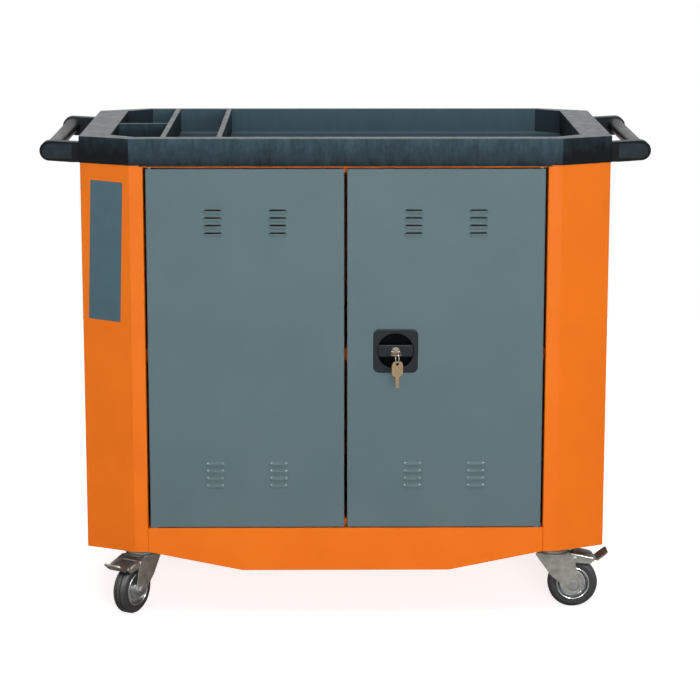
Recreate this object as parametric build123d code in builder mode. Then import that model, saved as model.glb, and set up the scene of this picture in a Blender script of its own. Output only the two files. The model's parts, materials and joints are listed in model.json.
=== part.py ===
from build123d import *
import os
from math import asin, atan2, cos, degrees, hypot, radians, sin, sqrt

# Device storage cart: a two-door sheet-metal cabinet on four swivel casters, with a moulded tray
# on top, a push handle at each end and a swivel lock with two locking rods.
# X runs to the right of someone facing the doors, Y from the doors to the back, Z up.
# The origin is on the floor under the centre of the overall box, hanging keys included.
# Sizes are in millimetres.

# Plan outline, an octagon with long front and back sides
tray_width = 1040.0
tray_depth = 500.0
corner_width = 100.0
corner_depth = 42.0

# Heights
caster_height = 134.0
tray_top = 965.0
tray_height = 52.0
door_top_gap = 3.0
rail_strip = 4.0
door_bottom = 185.5
sill_gap = 2.0
skirt_dip = 38.0
skirt_flat = 412.0
shelf_top = 540.0

# Sheet metal of the cabinet
sheet = 1.5
bend = 3.0
tray_overhang = 1.5
stop_depth = 22.0
stop_height = 14.0
stop_cutback = 28.0
rear_flange = 34.0
panel_flange = 16.0

# Doors
door_half_span = 388.0
middle_gap = 6.0
side_gap = 5.0
door_depth = 18.0
door_sheet = 1.2
door_lip = 12.0
door_edge_radius = 1.1
hinge_inset = 7.0
hinge_pin_radius = 4.0
hinge_pin_length = 14.0
washer_radius = 8.0
washer_gap = 0.5
fit_gap = 0.05
free_gap = 0.3

# Pressed louvres
louvre_length = 38.0
louvre_height = 7.0
louvre_rise = 2.6
louvre_gap = 2.4
louvre_pitch = 15.0
louvre_rows = 4
louvre_offset = 63.0
louvre_inset = 107.0

# Door stiffeners
stiffener_width = 26.0
left_stiffener_x = 60.0

# Lock
lock_x = 98.0
lock_z = 545.0
lock_size = 88.0
lock_corner = 12.0
lock_proud = 3.0
lock_bevel = 2.0
lock_body = 80.0
lock_body_depth = 14.0
dish_radius = 36.0
dish_depth = 13.0
bar_height = 24.0
bar_gap = 0.5
bar_bevel = 1.5
spindle_radius = 12.0
plug_radius = 8.5
plug_proud = 3.0
plug_length = 26.0
spindle_end = 20.5
cam_radius = 18.0
cam_thickness = 3.0
cam_pin_circle = 10.0
cam_pin_radius = 3.0
cam_pin_length = 5.0
yoke_play = 0.45
rod_gap = 0.8
rod_width = 10.0
rod_thickness = 3.0
yoke_width = 16.4
yoke_height = 15.0
rod_rest_gap = 3.0
guide_width = 30.0
guide_depth = 14.0
guide_height = 12.0
guide_end_gap = 60.0
guide_lock_gap = 110.0

# Keys
key_thickness = 2.2
blade_width = 8.0
blade_length = 21.0
neck_length = 9.0
bow_length = 25.0
bow_width = 23.0
cut_pitch = 3.6
cut_depths = (1.4, 2.4, 1.0, 1.8)
bow_corner = 9.0
key_hole_radius = 3.0
key_web = 2.5
ring_radius = 9.0
ring_seat = 8.7
ring_wire = 0.8
ring_turn = 20.0
ring_hang = 45.0
spare_bow_length = 31.0
spare_blade_length = 22.0

# Bolts inside the left door
bolt_radius = 4.0
bolt_length = 110.0
bolt_guide_length = 60.0
bolt_guide_width = 22.0
bolt_guide_depth = 16.0
bolt_stand_off = 10.0
bolt_travel = 14.0
bolt_knob_length = 12.0
bolt_knob_radius = 3.5

# Tray
tray_wall = 3.5
side_rim = 60.0
front_rim = 28.0
back_rim = 14.0
pocket_corner_width = 50.0
pocket_corner_depth = 34.0
divider_width = 10.0
divider_one_x = -355.0
divider_two_x = -246.0
cross_divider_width = 7.0
cross_divider_y = -10.0
tray_edge_radius = 1.5

# Push handles
handle_reach = 77.0
arm_thickness = 22.0
arm_height = 39.0
arm_set_back = 4.0
arm_drop = 10.0
arm_base_length = 14.0
arm_recess = 2.0
arm_border = 5.0
grip_radius = 11.5
collar_radius = 15.0
collar_length = 9.0

# Shelf and its uprights
shelf_lip = 25.0
shelf_inset = 46.0
upright_width = 20.0
upright_depth = 6.0
upright_spacing = 260.0
upright_end_gap = 16.0
slot_width = 6.0
slot_height = 14.0
slot_pitch = 60.0
clip_width = 12.0
clip_reach = 14.0
clip_sheet = 1.5
shelf_side_gap = 2.5

# Casters
left_swivel_x = 410.0
right_swivel_x = 421.0
swivel_inset = 64.0
wheel_radius = 50.0
wheel_width = 30.0
trail = 40.0
rim_radius = 33.0
tyre_shoulder = 6.0
groove_offset = 4.5
groove_width = 2.0
groove_depth = 1.5
plate_width = 84.0
plate_length = 76.0
plate_thickness = 3.5
plate_bolt_x = 62.0
plate_bolt_y = 54.0
caster_bolt_radius = 4.0
bolt_head_radius = 6.5
bolt_head_height = 4.0
plate_corner = 10.0
race_radius = 30.0
race_height = 5.0
race_gap = 0.5
plate_race_radius = 26.0
king_pin_radius = 6.0
king_pin_head = 9.5
king_pin_head_height = 3.5
fork_sheet = 3.0
fork_gap = 4.5
crown_radius = 34.0
crown_height = 117.0
leg_boss = 14.0
leg_back = 34.0
leg_back_corner = 3.0
leg_belly_x = 12.0
leg_belly_z = 86.0
leg_belly_radius = 24.0
leg_front = 30.0
leg_corner = 10.0
lobe_tip_x = 79.0
lobe_tip_z = 102.5
lobe_tip_radius = 3.5
lobe_chin_x = 73.0
lobe_chin_z = 97.0
lobe_chin_radius = 3.0
lobe_lip = 4.0
lobe_lip_sheet = 2.5
axle_radius = 5.0
axle_head_radius = 8.5
axle_head_height = 5.0
hub_radius = 11.0
hub_gap = 0.5
rim_width = 26.0
rim_wall = 3.5
rim_lip = 1.5
rim_lip_width = 2.5
rim_web = 8.0
disc_radius = 24.0
disc_hub_width = 26.0
disc_edge_width = 17.0
channel_width = 90.0
channel_sheet = 2.5
channel_inset = 24.0
front_left_heading = -120.0
front_right_heading = 0.0
back_left_heading = 12.0
back_right_heading = 168.0

# Brake pedals
pedal_pivot_x = 42.0
pedal_pivot_z = 107.5
pedal_pin_radius = 3.0
pedal_pin_head = 1.2
pedal_barrel_radius = 5.0
pedal_width = 33.0
pedal_bend = 8.0
pedal_sheet = 3.0
pedal_knee_x = 88.0
pedal_knee_z = 99.0
pedal_tip_x = 110.0
pedal_tip_z = 116.0
pedal_tip_width = 40.0
pedal_tip_corner = 7.0
shoe_x = 66.0
shoe_length = 10.0
shoe_width = 24.0
shoe_gap = 5.0

# Places worked out from the sizes above
hole_reach = lock_proud + plug_proud + neck_length + bow_length - key_web - key_hole_radius
ring_reach = (ring_seat * cos(radians(ring_hang)) + ring_radius) * cos(radians(ring_turn))
key_reach = hole_reach + ring_reach + ring_wire - tray_overhang
mid_y = key_reach / 2
tray_front = mid_y - tray_depth / 2
tray_back = mid_y + tray_depth / 2
body_front = tray_front + tray_overhang
body_back = tray_back - tray_overhang
body_side = tray_width / 2 - tray_overhang
tray_bottom = tray_top - tray_height
door_top = tray_bottom - rail_strip - door_top_gap
door_height = door_top - door_bottom
door_middle_z = (door_top + door_bottom) / 2
door_width = door_half_span - middle_gap / 2
door_middle_x = (door_half_span + middle_gap / 2) / 2
post_x = door_half_span + side_gap
rail_z = tray_bottom - rail_strip
sill_z = door_bottom - sill_gap
floor_z = sill_z - sheet
hinge_x = door_half_span - hinge_inset
hinge_y = body_front + door_depth / 2
stop_y = body_front + stop_depth
axle_z = wheel_radius

os.makedirs("parts", exist_ok=True)


def save(part, name):
    """Labels a finished piece and writes it to its own file."""
    part.label = name
    export_step(part, f"parts/{name}.step")


def octagon(inset):
    """Corners of the plan outline in order, with each of its eight sides moved in by inset."""
    half_width = tray_width / 2 - inset
    half_depth = tray_depth / 2 - inset
    reach = tray_width / 2 * corner_depth + (tray_depth / 2 - corner_depth) * corner_width
    reach -= inset * hypot(corner_width, corner_depth)
    front_x = (reach - half_depth * corner_width) / corner_depth
    side_y = (reach - half_width * corner_depth) / corner_width
    quarter = [(front_x, half_depth), (half_width, side_y)]
    right = quarter + [(x, -y) for x, y in reversed(quarter)]
    both = right + [(-x, y) for x, y in reversed(right)]
    return [(x, mid_y + y) for x, y in both]


def folded(points, thickness, side):
    """Edge view of a strip of sheet metal folded along points, with rounded bends."""
    with BuildSketch() as strip:
        with BuildLine():
            FilletPolyline(*points, radius=bend)
            offset(amount=thickness, side=side)
        make_face()
    return strip.sketch


def inner_plan(inset):
    """Plan of a sheet that fits inside the shell, notched round both door jambs."""
    with BuildSketch() as plan:
        Polygon(*octagon(tray_overhang + inset), align=None)
        fillet(plan.vertices(), radius=bend - sheet)
        with Locations((post_x, body_front), (-post_x, body_front)):
            Rectangle(2 * bend, 2 * stop_depth, mode=Mode.SUBTRACT)
    return plan.sketch


# Side panels: one sheet each, folded into door jamb, front post, chamfer, side, chamfer, rear flange
shell_outline = octagon(tray_overhang)
back_corner, back_side, front_side, front_corner = shell_outline[:4]
jamb_end = (post_x, body_front + stop_depth)
post_edge = (post_x, body_front)
flange_end = (back_corner[0] - rear_flange, body_back)
side_path = [jamb_end, post_edge, front_corner, front_side, back_side, back_corner, flange_end]

with BuildPart() as right_side_panel:
    with BuildSketch(Plane.XY.offset(caster_height)):
        add(folded(side_path, sheet, Side.LEFT))
    extrude(amount=tray_bottom - caster_height)
save(right_side_panel.part, "right_side_panel")

with BuildPart() as left_side_panel:
    add(right_side_panel.part)
    mirror(about=Plane.YZ, mode=Mode.REPLACE)
save(left_side_panel.part, "left_side_panel")

# Back panel, between the rear flanges of the side panels, folded in at its top and bottom
back_panel_y = body_back - sheet
back_panel_half = flange_end[0] + rear_flange / 2
panel_top = tray_bottom - sheet
back_path = [
    (back_panel_y - panel_flange, caster_height),
    (back_panel_y, caster_height),
    (back_panel_y, panel_top),
    (back_panel_y - panel_flange, panel_top),
]
with BuildPart() as back_panel:
    with BuildSketch(Plane.YZ.offset(-back_panel_half)):
        add(folded(back_path, sheet, Side.LEFT))
    extrude(amount=2 * back_panel_half)
save(back_panel.part, "back_panel")

# Top sheet under the tray
with BuildPart() as top_panel:
    with BuildSketch(Plane.XY.offset(panel_top)):
        add(inner_plan(sheet))
    extrude(amount=sheet)
save(top_panel.part, "top_panel")

# Rail over the doors: a narrow strip in front, a return and the door stop
rail_path = [
    (body_front, panel_top),
    (body_front, rail_z),
    (body_front + stop_depth, rail_z),
    (body_front + stop_depth, rail_z - stop_height),
]
with BuildPart() as front_rail:
    with BuildSketch(Plane.YZ.offset(-post_x)):
        with BuildLine():
            Polyline(*rail_path)
            offset(amount=sheet, side=Side.LEFT, kind=Kind.INTERSECTION)
        make_face()
    extrude(amount=2 * post_x)
    with BuildSketch(Plane.XZ.offset(-body_front - stop_depth / 2)):
        with Locations((post_x, rail_z), (-post_x, rail_z)):
            Rectangle(2 * stop_cutback, 2 * stop_height)
    extrude(amount=-stop_depth, mode=Mode.SUBTRACT)
save(front_rail.part, "front_rail")

# Front skirt: sill with its door stop, front face, and a flange under the dip
skirt_bottom = caster_height - skirt_dip
sill_path = [
    (body_front, caster_height),
    (body_front, sill_z),
    (body_front + stop_depth, sill_z),
    (body_front + stop_depth, sill_z + stop_height),
]
with BuildPart() as front_skirt:
    with BuildSketch(Plane.YZ.offset(-post_x)):
        with BuildLine():
            Polyline(*sill_path)
            offset(amount=sheet, side=Side.RIGHT, kind=Kind.INTERSECTION)
        make_face()
    extrude(amount=2 * post_x)
    with BuildSketch(Plane.XZ.offset(-body_front)):
        Polygon(
            (-post_x, caster_height),
            (-skirt_flat / 2, skirt_bottom),
            (skirt_flat / 2, skirt_bottom),
            (post_x, caster_height),
            align=None,
        )
    extrude(amount=-sheet)
    with BuildSketch(Plane.XY.offset(skirt_bottom)):
        with Locations((0, body_front)):
            Rectangle(skirt_flat, panel_flange, align=(Align.CENTER, Align.MIN))
    extrude(amount=sheet)
    with BuildSketch(Plane.XZ.offset(-body_front - stop_depth / 2)):
        with Locations((post_x, sill_z + sheet), (-post_x, sill_z + sheet)):
            Rectangle(2 * stop_cutback, 2 * stop_height, align=(Align.CENTER, Align.MIN))
    extrude(amount=-stop_depth, mode=Mode.SUBTRACT)
save(front_skirt.part, "front_skirt")

# Floor of the cabinet, folded down at its sides and back
with BuildPart() as floor_panel:
    with BuildSketch(Plane.XY.offset(floor_z - panel_flange)):
        add(inner_plan(2 * sheet))
    extrude(amount=panel_flange)
    with BuildSketch(Plane.XY.offset(floor_z - panel_flange)):
        add(inner_plan(3 * sheet))
    extrude(amount=panel_flange - sheet, mode=Mode.SUBTRACT)
save(floor_panel.part, "floor_panel")

# Two channels between floor panel and casters
channel_front = body_front + channel_inset
channel_back = body_back - channel_inset
swivel_ys = (tray_front + swivel_inset, tray_back - swivel_inset)
swivel_places = [(x, y) for x in (-left_swivel_x, right_swivel_x) for y in swivel_ys]
caster_bolt_places = [
    (x + side * plate_bolt_x / 2, y + end * plate_bolt_y / 2)
    for x, y in swivel_places
    for side in (-1, 1)
    for end in (-1, 1)
]
with BuildPart() as caster_channels:
    with BuildSketch(Plane.XY.offset(caster_height)):
        with Locations((-left_swivel_x, mid_y), (right_swivel_x, mid_y)):
            Rectangle(channel_width, channel_back - channel_front)
    extrude(amount=floor_z - panel_flange - caster_height)
    with BuildSketch(Plane.XY.offset(caster_height + channel_sheet)):
        with Locations((-left_swivel_x, mid_y), (right_swivel_x, mid_y)):
            Rectangle(channel_width - 2 * channel_sheet, channel_back - channel_front)
    extrude(amount=floor_z - caster_height, mode=Mode.SUBTRACT)
    with BuildSketch(Plane.XY.offset(caster_height)):
        with Locations(caster_bolt_places):
            Circle(caster_bolt_radius)
    extrude(amount=channel_sheet, mode=Mode.SUBTRACT)
save(caster_channels.part, "caster_channels")

# Shelf, a sheet folded down on all four sides
shelf_half = body_side - sheet - upright_depth - clip_sheet - shelf_side_gap
shelf_depth = body_back - body_front - 2 * shelf_inset
with BuildPart() as shelf:
    with BuildSketch(Plane.XY.offset(shelf_top - shelf_lip)):
        with Locations((0, mid_y)):
            RectangleRounded(2 * shelf_half, shelf_depth, bend)
    extrude(amount=shelf_lip)
    with BuildSketch(Plane.XY.offset(shelf_top - shelf_lip)):
        with Locations((0, mid_y)):
            RectangleRounded(2 * (shelf_half - sheet), shelf_depth - 2 * sheet, bend - sheet)
    extrude(amount=shelf_lip - sheet, mode=Mode.SUBTRACT)
save(shelf.part, "shelf")

# Slotted uprights on the side walls and the clips that carry the shelf
upright_bottom = floor_z + upright_end_gap
upright_top = panel_top - upright_end_gap
upright_height = upright_top - upright_bottom
slot_count = int((upright_height - slot_pitch) // slot_pitch)
wall_x = body_side - sheet
upright_ys = [mid_y - upright_spacing / 2, mid_y + upright_spacing / 2]
with BuildPart() as shelf_uprights:
    with BuildSketch(Plane.XY.offset(upright_bottom)):
        with Locations([(wall_x - upright_depth / 2, y) for y in upright_ys]):
            Rectangle(upright_depth, upright_width)
        with Locations([(wall_x - (upright_depth - sheet) / 2, y) for y in upright_ys]):
            Rectangle(upright_depth - sheet, upright_width - 2 * sheet, mode=Mode.SUBTRACT)
    extrude(amount=upright_height)
    with BuildSketch(Plane.YZ.offset(wall_x - upright_depth)):
        for y in upright_ys:
            with Locations((y, (upright_bottom + upright_top) / 2)):
                with GridLocations(slot_pitch, slot_pitch, 1, slot_count):
                    Rectangle(slot_width, slot_height)
    extrude(amount=sheet, mode=Mode.SUBTRACT)
    mirror(about=Plane.YZ)
save(shelf_uprights.part, "shelf_uprights")

clip_x = wall_x - upright_depth
clip_z = shelf_top - shelf_lip
clip_sole = clip_z - clip_sheet
clip_path = [(clip_x, clip_z + clip_reach), (clip_x, clip_sole), (clip_x - clip_reach, clip_sole)]
with BuildPart() as shelf_clips:
    for y in upright_ys:
        with BuildSketch(Plane.XZ.offset(-y - clip_width / 2)):
            with BuildLine():
                Polyline(*clip_path)
                offset(amount=clip_sheet, side=Side.RIGHT, kind=Kind.INTERSECTION)
            make_face()
        extrude(amount=clip_width)
    mirror(about=Plane.YZ)
save(shelf_clips.part, "shelf_clips")

# Tray: one moulding, hollow under its rim, with pockets parted by full and short dividers
pocket_half = tray_width / 2 - side_rim
pocket_front = tray_front + front_rim
pocket_back = tray_back - back_rim
pocket_floor = tray_bottom + tray_wall
pocket_depth = tray_top - pocket_floor


def pocket_plan(grow):
    """Plan of the tray's hollow with its four corners cut, moved out by grow."""
    cut_x, cut_y = pocket_corner_width, pocket_corner_depth
    right = [
        (pocket_half - cut_x, pocket_front),
        (pocket_half, pocket_front + cut_y),
        (pocket_half, pocket_back - cut_y),
        (pocket_half - cut_x, pocket_back),
    ]
    with BuildSketch() as plan:
        Polygon(*right, *[(-x, y) for x, y in reversed(right)], align=None)
        if grow:
            offset(amount=grow, kind=Kind.INTERSECTION)
    return plan.sketch


with BuildPart() as tool_tray:
    with BuildSketch(Plane.XY.offset(tray_bottom)):
        Polygon(*octagon(0), align=None)
    extrude(amount=tray_height)
    fillet(tool_tray.edges().group_by(Axis.Z)[-1], radius=tray_edge_radius)
    with BuildSketch(Plane.XY.offset(tray_bottom)):
        Polygon(*octagon(tray_wall), align=None)
        add(pocket_plan(tray_wall), mode=Mode.SUBTRACT)
    extrude(amount=tray_height - tray_wall, mode=Mode.SUBTRACT)
    with BuildSketch(Plane.XY.offset(pocket_floor)):
        add(pocket_plan(0))
        with Locations((divider_one_x, mid_y), (divider_two_x, mid_y)):
            Rectangle(divider_width, tray_depth, mode=Mode.SUBTRACT)
        with Locations((divider_one_x, mid_y + cross_divider_y)):
            Rectangle(
                pocket_half, cross_divider_width, align=(Align.MAX, Align.CENTER), mode=Mode.SUBTRACT
            )
    extrude(amount=pocket_depth, mode=Mode.SUBTRACT)
save(tool_tray.part, "tool_tray")

# Push handles: two moulded arms a side, each with a base block, and a grip tube between them
side_x = tray_width / 2
nose_x = side_x + handle_reach - arm_height / 2
arm_middle_z = tray_top - arm_drop - arm_height / 2
arm_front = tray_front + corner_depth + arm_set_back
arm_inner = arm_front + arm_thickness
arm_places = {"front": arm_front, "rear": 2 * mid_y - arm_inner}
for end, arm_y in arm_places.items():
    arm_plane = Plane.XZ.offset(-arm_y)
    outer_face = arm_plane if end == "front" else Plane.XZ.offset(-arm_y - arm_thickness)
    inward = -arm_recess if end == "front" else arm_recess
    with BuildPart() as arm:
        with BuildSketch(arm_plane):
            with Locations((nose_x, arm_middle_z)):
                Circle(arm_height / 2)
            with Locations((side_x, tray_bottom + arm_height / 2)):
                Rectangle(arm_base_length, arm_height, align=(Align.MIN, Align.CENTER))
            make_hull()
        extrude(amount=-arm_thickness)
        with BuildSketch(outer_face):
            with Locations((nose_x, arm_middle_z)):
                Circle(arm_height / 2 - arm_border)
            with Locations((side_x + arm_base_length, arm_middle_z)):
                Rectangle(
                    arm_border, arm_height - 2 * arm_border, align=(Align.MIN, Align.CENTER)
                )
            make_hull()
        extrude(amount=inward, mode=Mode.SUBTRACT)
    save(arm.part, f"right_handle_{end}_arm")
    with BuildPart() as left_arm:
        add(arm.part)
        mirror(about=Plane.YZ, mode=Mode.REPLACE)
    save(left_arm.part, f"left_handle_{end}_arm")

grip_length = arm_places["rear"] - arm_inner
with BuildPart() as right_grip:
    with BuildSketch(Plane.XZ.offset(-arm_inner)):
        with Locations((nose_x, arm_middle_z)):
            Circle(grip_radius)
    extrude(amount=-grip_length)
    for collar_y in (arm_inner, arm_places["rear"] - collar_length):
        with BuildSketch(Plane.XZ.offset(-collar_y)):
            with Locations((nose_x, arm_middle_z)):
                Circle(collar_radius)
        extrude(amount=-collar_length)
save(right_grip.part, "right_handle_grip")
with BuildPart() as left_grip:
    add(right_grip.part)
    mirror(about=Plane.YZ, mode=Mode.REPLACE)
save(left_grip.part, "left_handle_grip")

# Hinge pins, welded on the sill and under the rail, and the washers that carry the doors
pin_places = [(hinge_x, hinge_y), (-hinge_x, hinge_y)]
with BuildPart() as hinge_pins:
    with BuildSketch(Plane.XY.offset(sill_z)):
        with Locations(pin_places):
            Circle(hinge_pin_radius)
    extrude(amount=hinge_pin_length)
    with BuildSketch(Plane.XY.offset(rail_z)):
        with Locations(pin_places):
            Circle(hinge_pin_radius)
    extrude(amount=-hinge_pin_length)
save(hinge_pins.part, "hinge_pins")

with BuildPart() as hinge_washers:
    with BuildSketch(Plane.XY.offset(sill_z)):
        with Locations(pin_places):
            Circle(washer_radius)
            Circle(hinge_pin_radius, mode=Mode.SUBTRACT)
    extrude(amount=sill_gap - washer_gap)
save(hinge_washers.part, "hinge_washers")

# Rubber buttons on the door stops
buffer_radius = 5.0
buffer_length = stop_depth - door_depth - free_gap
buffer_x = [side * x for side in (-1, 1) for x in (lock_x / 3, hinge_x - 2 * stop_cutback)]
with BuildPart() as door_buffers:
    with BuildSketch(Plane.XZ.offset(-stop_y)):
        with Locations([(x, rail_z - stop_height / 2) for x in buffer_x]):
            Circle(buffer_radius)
        with Locations([(x, sill_z + stop_height / 2) for x in buffer_x]):
            Circle(buffer_radius)
    extrude(amount=buffer_length)
save(door_buffers.part, "door_buffers")

# Doors: folded pans with a lip round the open back, pin holes at the outer edge and pressed louvres,
# whose slits face up in the two upper groups and down in the two lower ones
door_back = body_front + door_depth
louvre_turns = {1: (0, 0, 180), -1: (180, 0, 0)}
hood_radius = (louvre_height**2 + louvre_rise**2) / (2 * louvre_rise)
hood_middle = louvre_rise - hood_radius
hood_half = louvre_length / 2 - louvre_height


def hood(radius, skin):
    """Domed hood with rounded ends: what of a capsule along X lies over Y skin and under Z 0."""
    with BuildPart() as dome:
        with BuildSketch(Plane.YZ.offset(-hood_half)):
            with Locations((hood_middle, 0)):
                Circle(radius)
        extrude(amount=2 * hood_half)
        with Locations((-hood_half, hood_middle, 0), (hood_half, hood_middle, 0)):
            Sphere(radius)
        with Locations((0, skin, 0)):
            Box(
                louvre_length,
                2 * louvre_height,
                2 * louvre_height,
                align=(Align.CENTER, Align.MIN, Align.MAX),
                mode=Mode.INTERSECT,
            )
    return dome.part


def slit_places(middle_x, slit):
    """Slit edges of one door's upper (slit 1) or lower (slit -1) louvres, each turned to face out."""
    group_z = door_top - louvre_inset if slit > 0 else door_bottom + louvre_inset
    middle_row = (louvre_rows - 1) / 2
    return [
        Location((middle_x + side * louvre_offset, body_front, z), louvre_turns[slit])
        for side in (-1, 1)
        for row in range(louvre_rows)
        for z in [group_z + (row - middle_row) * louvre_pitch + slit * (louvre_height - louvre_gap) / 2]
    ]


for name, outer in (("left_door", -1), ("right_door", 1)):
    middle_x = outer * door_middle_x
    with BuildPart() as door:
        with BuildSketch(Plane.XZ.offset(-door_back)):
            with Locations((middle_x, door_middle_z)):
                Rectangle(door_width, door_height)
        extrude(amount=door_depth)
        fillet(door.edges().group_by(Axis.Y)[0], radius=door_edge_radius)
        with BuildSketch(Plane.XZ.offset(-door_back)):
            with Locations((middle_x, door_middle_z)):
                Rectangle(door_width - 2 * door_lip, door_height - 2 * door_lip)
        extrude(amount=door_sheet, mode=Mode.SUBTRACT)
        with BuildSketch(Plane.XZ.offset(door_sheet - door_back)):
            with Locations((middle_x, door_middle_z)):
                Rectangle(door_width - 2 * door_sheet, door_height - 2 * door_sheet)
        extrude(amount=door_depth - 2 * door_sheet, mode=Mode.SUBTRACT)
        with BuildSketch(Plane.XY.offset(door_bottom)):
            with Locations((outer * hinge_x, hinge_y)):
                Circle(hinge_pin_radius + fit_gap)
        extrude(amount=door_height, mode=Mode.SUBTRACT)
        for slit in louvre_turns:
            with Locations(slit_places(middle_x, slit)):
                add(hood(hood_radius, 0))
                add(hood(hood_radius - door_sheet, -door_sheet), mode=Mode.SUBTRACT)
                Box(
                    2 * hood_half + louvre_height,
                    door_sheet,
                    louvre_gap,
                    align=(Align.CENTER, Align.MAX, Align.MIN),
                    mode=Mode.SUBTRACT,
                )
        if outer > 0:
            with BuildSketch(Plane.XZ.offset(-body_front)):
                with Locations((lock_x, lock_z)):
                    Rectangle(lock_body + 2 * free_gap, lock_body + 2 * free_gap)
            extrude(amount=-door_sheet, mode=Mode.SUBTRACT)
    save(door.part, name)


def stiffener(x, low, high):
    """Channel that stands upright with its open side on the door skin."""
    with BuildPart() as channel:
        with BuildSketch(Plane.XY.offset(low)):
            with Locations((x, body_front + door_sheet)):
                Rectangle(
                    stiffener_width, door_depth - door_sheet, align=(Align.CENTER, Align.MIN)
                )
                Rectangle(
                    stiffener_width - 2 * door_sheet,
                    door_depth - 2 * door_sheet,
                    align=(Align.CENTER, Align.MIN),
                    mode=Mode.SUBTRACT,
                )
        extrude(amount=high - low)
    return channel.part


# Stiffeners inside the doors; the right-hand one is in two lengths, above and below the lock
stiffener_low = door_bottom + door_lip
stiffener_high = door_top - door_lip
lock_clear = lock_body / 2 + free_gap
save(stiffener(-left_stiffener_x, stiffener_low, stiffener_high), "left_door_stiffener")
with BuildPart() as right_door_stiffeners:
    add(stiffener(lock_x, stiffener_low, lock_z - lock_clear))
    add(stiffener(lock_x, lock_z + lock_clear, stiffener_high))
save(right_door_stiffeners.part, "right_door_stiffeners")

# Lock housing: bevelled flange on the door face, body behind it, round dish for the fingers
lock_face = body_front - lock_proud
dish_floor = lock_face + dish_depth
with BuildPart() as lock_housing:
    with BuildSketch(Plane.XZ.offset(-body_front)):
        with Locations((lock_x, lock_z)):
            RectangleRounded(lock_size, lock_size, lock_corner)
    extrude(amount=lock_proud)
    chamfer(lock_housing.edges().group_by(Axis.Y)[0], length=lock_bevel)
    with BuildSketch(Plane.XZ.offset(-body_front)):
        with Locations((lock_x, lock_z)):
            Rectangle(lock_body, lock_body)
    extrude(amount=-lock_body_depth)
    with BuildSketch(Plane.XZ.offset(-lock_face)):
        with Locations((lock_x, lock_z)):
            Circle(dish_radius)
    extrude(amount=-dish_depth, mode=Mode.SUBTRACT)
    with BuildSketch(Plane.XZ.offset(-dish_floor)):
        with Locations((lock_x, lock_z)):
            Circle(spindle_radius + fit_gap)
    extrude(amount=-lock_body_depth, mode=Mode.SUBTRACT)
save(lock_housing.part, "lock_housing")

# Turning handle: a bar across the dish with the lock's spindle on its back
with BuildPart() as latch_handle:
    with BuildSketch(Plane.XZ.offset(-lock_face)):
        with Locations((lock_x, lock_z)):
            Circle(dish_radius - bar_gap)
            Rectangle(2 * dish_radius, bar_height, mode=Mode.INTERSECT)
    extrude(amount=-(dish_depth - bar_gap))
    chamfer(latch_handle.edges().group_by(Axis.Y)[0], length=bar_bevel)
    with BuildSketch(Plane.XZ.offset(-body_front)):
        with Locations((lock_x, lock_z)):
            Circle(spindle_radius)
    extrude(amount=-spindle_end)
    with BuildSketch(Plane.XZ.offset(-lock_face)):
        with Locations((lock_x, lock_z)):
            Circle(plug_radius + fit_gap)
    extrude(amount=-(lock_proud + spindle_end), mode=Mode.SUBTRACT)
save(latch_handle.part, "latch_handle")

# Lock cam on the spindle's end, with a pin for each rod
cam_front = body_front + spindle_end
cam_back = cam_front + cam_thickness
pin_step = cam_pin_circle / sqrt(2)
with BuildPart() as lock_cam:
    with BuildSketch(Plane.XZ.offset(-cam_front)):
        with Locations((lock_x, lock_z)):
            Circle(cam_radius)
    extrude(amount=-cam_thickness)
    with BuildSketch(Plane.XZ.offset(-cam_back)):
        with Locations((lock_x + pin_step, lock_z - pin_step), (lock_x - pin_step, lock_z + pin_step)):
            Circle(cam_pin_radius)
    extrude(amount=-cam_pin_length)
save(lock_cam.part, "lock_cam")

# Locking rods: flat bars, each with a slotted yoke round its cam pin; the cam drives their tips
# behind the stops above and below the door
rod_front = cam_back + rod_gap
rod_offset = (cam_pin_circle + pin_step) / 2
yoke_slot_length = cam_pin_circle - pin_step + 2 * (cam_pin_radius + yoke_play)
upper_tip_z = rail_z - stop_height - rod_rest_gap
lower_tip_z = sill_z + stop_height + rod_rest_gap
for name, side, tip_z in (
    ("upper_lock_rod", 1, upper_tip_z),
    ("lower_lock_rod", -1, lower_tip_z),
):
    rod_x = lock_x + side * rod_offset
    yoke_z = lock_z - side * pin_step
    with BuildPart() as rod:
        with BuildSketch(Plane.XZ.offset(-rod_front)):
            with Locations((rod_x, (yoke_z + tip_z) / 2)):
                Rectangle(rod_width, abs(tip_z - yoke_z))
            with Locations((rod_x, yoke_z)):
                Rectangle(yoke_width, yoke_height)
                Rectangle(
                    yoke_slot_length, 2 * (cam_pin_radius + yoke_play), mode=Mode.SUBTRACT
                )
        extrude(amount=-rod_thickness)
    save(rod.part, name)

# Guides for the rods on the backs of the stiffeners, the same block four times
guide_zs = [
    upper_tip_z - guide_end_gap,
    lock_z + guide_lock_gap,
    lock_z - guide_lock_gap,
    lower_tip_z + guide_end_gap,
]
with BuildPart() as rod_guides:
    for z in guide_zs:
        with BuildSketch(Plane.XY.offset(z - guide_height / 2)):
            with Locations((lock_x, door_back)):
                Rectangle(guide_width, guide_depth, align=(Align.CENTER, Align.MIN))
            with Locations(
                (lock_x - rod_offset, rod_front + rod_thickness / 2),
                (lock_x + rod_offset, rod_front + rod_thickness / 2),
            ):
                Rectangle(
                    rod_width + 2 * free_gap, rod_thickness + 2 * free_gap, mode=Mode.SUBTRACT
                )
        extrude(amount=guide_height)
save(rod_guides.part, "rod_guides")

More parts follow.
